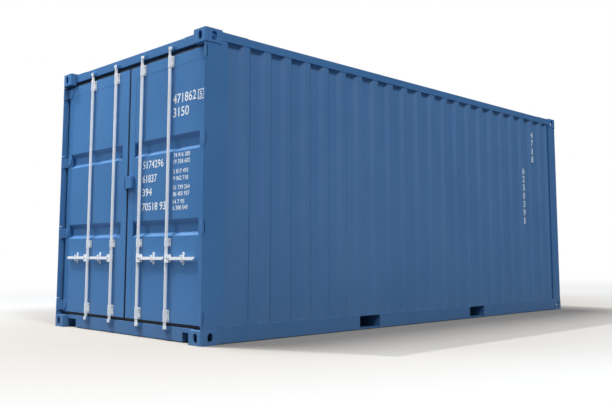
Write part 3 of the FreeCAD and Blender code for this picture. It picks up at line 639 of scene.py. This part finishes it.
roofSheet = {"half": 2.851, "pitch": 0.209, "ridge": 0.070, "slope": 0.020, "depth": 0.018,
             "top": 2.577, "reach": 1.153}
roofRun = waveRun(-roofSheet["half"], roofSheet["half"], roofSheet["pitch"], roofSheet["ridge"],
                  roofSheet["slope"], roofSheet["depth"])
valley, reach = roofSheet["top"] - roofSheet["depth"], roofSheet["reach"]
edge = roofSheet["half"] - 0.001
lines = [[(along, across, roofSheet["top"] - deep) for along, deep in roofRun]
         for across in (-reach + 0.001, reach - 0.001)]
lines += [[(along, -reach, valley), (along, reach, valley)] for along in (-edge, edge)]
valleys = [(roofRun[i][0] + roofRun[i + 1][0]) / 2 for i in range(4, len(roofRun) - 5, 4)]
lines += [[(valleys[i], -reach, valley), (valleys[i], reach, valley)] for i in range(4, len(valleys), 5)]
layBeads("roof_welds", "container", lines, 0.003)

# where rails, posts and end beams meet the castings
lines = []
for way in (1, -1):
    face, inner = way * 1.2125, way * 1.0575
    for end, post, beam in ((-1, 3.026, 2.9735), (1, 3.023, 3.0225)):
        castingEnd = end * 2.851
        lines.append([(castingEnd, face, 0.008), (castingEnd, face, 0.118)])
        lines.append([(castingEnd, face, 2.506), (castingEnd, face, 2.5765),
                      (castingEnd, way * 1.06, 2.5765)])
        for z in (0.1185, 2.4725):
            lines.append([(end * post, face, z), (castingEnd, face, z)])
        lines.append([(end * beam, inner, 2.499), (end * beam, inner, 2.576), (castingEnd, inner, 2.576)])
        lines.append([(end * beam, inner, 0.086), (end * beam, inner, 0.117)])
    for z in (0.1405, 2.5055):
        lines.append([(-2.851, face, z), (rearX + 0.242, face, z)])
layBeads("casting_welds", "container", lines, 0.0036)

# hinge blades and door skins
hinges = {"levels": 4, "half": 0.0475, "tip": 1.102, "edge": 1.168, "chamfer": 0.034, "round": 0.017}
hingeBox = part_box("door_hinges_left")
firstHinge, lastHinge = hingeBox[0].z + hinges["half"], hingeBox[1].z - hinges["half"]
groove = {"levels": (0.950, 1.672), "half": 0.070, "slope": 0.033, "deep": 0.035}
for sideName, way in sides.items():
    lines = []
    for i in range(hinges["levels"]):
        middle = firstHinge + (lastHinge - firstHinge) * i / (hinges["levels"] - 1)
        low, high = middle - hinges["half"], middle + hinges["half"]
        tip, bend = hinges["tip"], hinges["round"]
        outline = [(hinges["edge"], high), (tip + bend, high), (tip + bend * 0.3, high - bend * 0.3),
                   (tip, high - bend), (tip, low + hinges["chamfer"]), (tip + hinges["chamfer"], low),
                   (hinges["edge"], low)]
        lines.append([(doorFace - 0.0005, way * y, z) for y, z in outline])
    layBeads("hinge_welds_" + sideName, sideName + "_door", lines, 0.0032, 0.012)
    climb = [(0.0, 0.250)]
    for level in groove["levels"]:
        low, high = level - groove["half"], level + groove["half"]
        climb += [(0.0, low), (groove["deep"], low + groove["slope"])]
        climb += [(groove["deep"], high - groove["slope"]), (0.0, high)]
    climb.append((0.0, 2.352))
    lines = [[(doorFace + 0.0008 + deep, way * y, z) for deep, z in climb] for y in (0.1055, 1.0925)]
    layBeads("door_skin_welds_" + sideName, sideName + "_door", lines, 0.0011, 0.02)
print("welds laid")

# plywood boards in two rows with open joints, and short ones between the front posts
boards = {"rows": ((-1.163, -0.001), (0.001, 1.163)), "ends": (-2.851, -0.953, 0.945, 2.843), "gap": 0.002,
          "bottom": 0.122, "top": 0.150, "infill": (2.843, 2.973, 1.133), "bevel": 0.0025}
spans = []
for low, high in boards["rows"]:
    for start, stop in zip(boards["ends"], boards["ends"][1:]):
        spans.append((start, stop - boards["gap"], low, high))
    start, stop, reach = boards["infill"]
    spans.append((start, stop, max(low, -reach), min(high, reach)))
bm = bmesh.new()
for start, stop, low, high in spans:
    board = bmesh.ops.create_cube(bm, size=1.0)["verts"]
    bmesh.ops.scale(bm, vec=(stop - start, high - low, boards["top"] - boards["bottom"]), verts=board)
    middle = ((start + stop) / 2, (low + high) / 2, (boards["top"] + boards["bottom"]) / 2)
    bmesh.ops.translate(bm, vec=middle, verts=board)
bmesh.ops.bevel(bm, geom=bm.edges, offset=boards["bevel"], affect="EDGES", segments=2, profile=0.5,
                material=-1)
floorBoards = finishPiece("floor_boards", bm, plywood, "container")
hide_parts("floor_deck")

# a row of screws over every cross member
screws = {"first": -2.806, "last": 2.761, "count": 19, "beside": 0.022, "size": 0.006, "level": 0.1496,
          "across": (-1.10, -0.83, -0.56, -0.29, -0.04, 0.04, 0.29, 0.56, 0.83, 1.10)}
bm = bmesh.new()
pitch = (screws["last"] - screws["first"]) / (screws["count"] - 1)
for i in range(screws["count"]):
    for across in screws["across"]:
        spot = (screws["first"] + i * pitch + screws["beside"], across, screws["level"])
        addRivet(bm, spot, screws["size"], 2)
finishPiece("floor_screws", bm, boltZinc, "container")
print("floor made")

# the seals' outer lips, which fill the joints between the doors, and over and under them
sealLips = {"front": 0.058, "back": 0.073, "free": (0.0045, 0.014), "edge": 1.170, "under": (0.128, 0.150),
            "over": (2.452, 2.4665)}
for sideName, way in sides.items():
    bm = bmesh.new()
    deep = (sealLips["back"] - sealLips["front"], rearX + (sealLips["front"] + sealLips["back"]) / 2)
    near, free = sealLips["free"]
    for low, high, bottom, top in ((near, free, sealLips["under"][0], sealLips["over"][1]),
                                   (free, sealLips["edge"], *sealLips["under"]),
                                   (free, sealLips["edge"], *sealLips["over"])):
        lip = bmesh.ops.create_cube(bm, size=1.0)["verts"]
        bmesh.ops.scale(bm, vec=(deep[0], high - low, top - bottom), verts=lip)
        bmesh.ops.translate(bm, vec=(deep[1], way * (low + high) / 2, (bottom + top) / 2), verts=lip)
    bmesh.ops.bevel(bm, geom=bm.edges, offset=0.002, affect="EDGES", segments=2, profile=0.5, material=-1)
    finishPiece("door_seal_lips_" + sideName, bm, doorRubber, sideName + "_door")
print("seal lips made")

# flat bars that clamp the door seals, riveted to the door frames' backs
clampBars = {"back": 0.105, "thick": 0.003, "places": (0.053, 1.131), "wide": 0.018, "low": 0.180,
             "high": 2.422, "rivets": 15, "firstRivet": 0.05, "rivetGap": 0.153, "rivet": 0.0055}
for sideName, way in sides.items():
    bm = bmesh.new()
    middle = (rearX + clampBars["back"] + clampBars["thick"] / 2, (clampBars["low"] + clampBars["high"]) / 2)
    for y in clampBars["places"]:
        bar = bmesh.ops.create_cube(bm, size=1.0)["verts"]
        size = (clampBars["thick"], clampBars["wide"], clampBars["high"] - clampBars["low"])
        bmesh.ops.scale(bm, vec=size, verts=bar)
        bmesh.ops.translate(bm, vec=(middle[0], way * y, middle[1]), verts=bar)
    bmesh.ops.bevel(bm, geom=bm.edges, offset=0.0008, affect="EDGES", segments=2, profile=0.5, material=-1)
    for y in clampBars["places"]:
        for i in range(clampBars["rivets"]):
            level = clampBars["low"] + clampBars["firstRivet"] + i * clampBars["rivetGap"]
            spot = (rearX + clampBars["back"] + clampBars["thick"], way * y, level)
            addRivet(bm, spot, clampBars["rivet"])
    finishPiece("seal_clamp_bars_" + sideName, bm, zincSteel, sideName + "_door")
print("seal bars made")


# plain digits as cut film: text turned to mesh, fitted to its width and turned to look outwards
def addDigits(bm, text, corner, height, width, turn, thick=0.0006):
    font = bpy.data.curves.new("digits", "FONT")
    font.body = text
    font.size = height * 1.36
    font.extrude = thick / 2
    font.offset = height * 0.008
    font.resolution_u = 3
    holder = bpy.data.objects.new("digits", font)
    drawn = bpy.data.meshes.new_from_object(holder)
    across = [vertex.co.x for vertex in drawn.vertices]
    squeeze = Matrix.Scale(width / (max(across) - min(across)), 4, (1, 0, 0))
    fromLeft = Matrix.Translation((-min(across), 0, thick / 2))
    drawn.transform(Matrix.Translation(corner) @ turn @ squeeze @ fromLeft)
    bm.from_mesh(drawn)
    bpy.data.objects.remove(holder)
    bpy.data.curves.remove(font)
    bpy.data.meshes.remove(drawn)


# columns: where the text's x, y and z go
onDoor = Matrix(((0, 0, -1), (-1, 0, 0), (0, 1, 0))).to_4x4()
onSide = Matrix(((1, 0, 0), (0, 0, -1), (0, 1, 0))).to_4x4()

# text, left edge, baseline, height and width of each row on the right door
doorDigits = {
    "large": (("471862", -0.700, 2.020, 0.085, 0.331), ("3150", -0.704, 1.900, 0.085, 0.228),
              ("5174296", -0.250, 1.487, 0.072, 0.322), ("61837", -0.250, 1.360, 0.072, 0.222),
              ("394", -0.250, 1.240, 0.072, 0.150), ("70518 93", -0.250, 1.110, 0.072, 0.366)),
    "small": ((1.549, "74 916 385"), (1.493, "19 358 602"), (1.410, "5 817 493"), (1.350, "9 062 718"),
              (1.272, "51 739 264"), (1.216, "86 405 937"), (1.150, "14 7 95"), (1.098, "6 308 549")),
    "smallStart": -0.725, "smallHeight": 0.038, "smallStep": 0.0235,
    "boxed": ("5", -1.057, -1.141, 2.008, 2.093, 0.008),
}
bm = bmesh.new()
for text, start, level, size, width in doorDigits["large"]:
    addDigits(bm, text, (doorFace + 0.001, start, level), size, width, onDoor)
for level, text in doorDigits["small"]:
    addDigits(bm, text, (doorFace + 0.001, doorDigits["smallStart"], level), doorDigits["smallHeight"],
              doorDigits["smallStep"] * len(text), onDoor)
# the boxed digit runs from the skin on to the door's frame, so its film is thicker
text, start, stop, low, high, line = doorDigits["boxed"]
addDigits(bm, text, (doorFace + 0.001, start - 0.022, low + 0.016), high - low - 0.032, 0.036, onDoor, 0.0015)
for y, z, wide, tall in (((start + stop) / 2, low + line / 2, start - stop, line),
                         ((start + stop) / 2, high - line / 2, start - stop, line),
                         (start - line / 2, (low + high) / 2, line, high - low - 2 * line),
                         (stop + line / 2, (low + high) / 2, line, high - low - 2 * line)):
    bar = bmesh.ops.create_cube(bm, size=1.0)["verts"]
    bmesh.ops.scale(bm, vec=(0.0015, wide, tall), verts=bar)
    bmesh.ops.translate(bm, vec=(doorFace + 0.00025, y, z), verts=bar)
finishPiece("door_digits", bm, whiteVinyl, "right_door")

# digits of each column on the side wall: middle, top of the first, step down
sideDigits = {"columns": (("4718", 2.385, 2.352, 0.108), ("6250391", 2.137, 1.857, 0.108)), "height": 0.085,
              "width": 0.050, "face": -1.209}
bm = bmesh.new()
for text, middle, top, step in sideDigits["columns"]:
    for i, digit in enumerate(text):
        width = sideDigits["width"] * (0.5 if digit == "1" else 1.0)
        spot = (middle - width / 2, sideDigits["face"], top - sideDigits["height"] - i * step)
        addDigits(bm, digit, spot, sideDigits["height"], width, onSide)
finishPiece("side_digits", bm, whiteVinyl, "container")
print("digits laid")
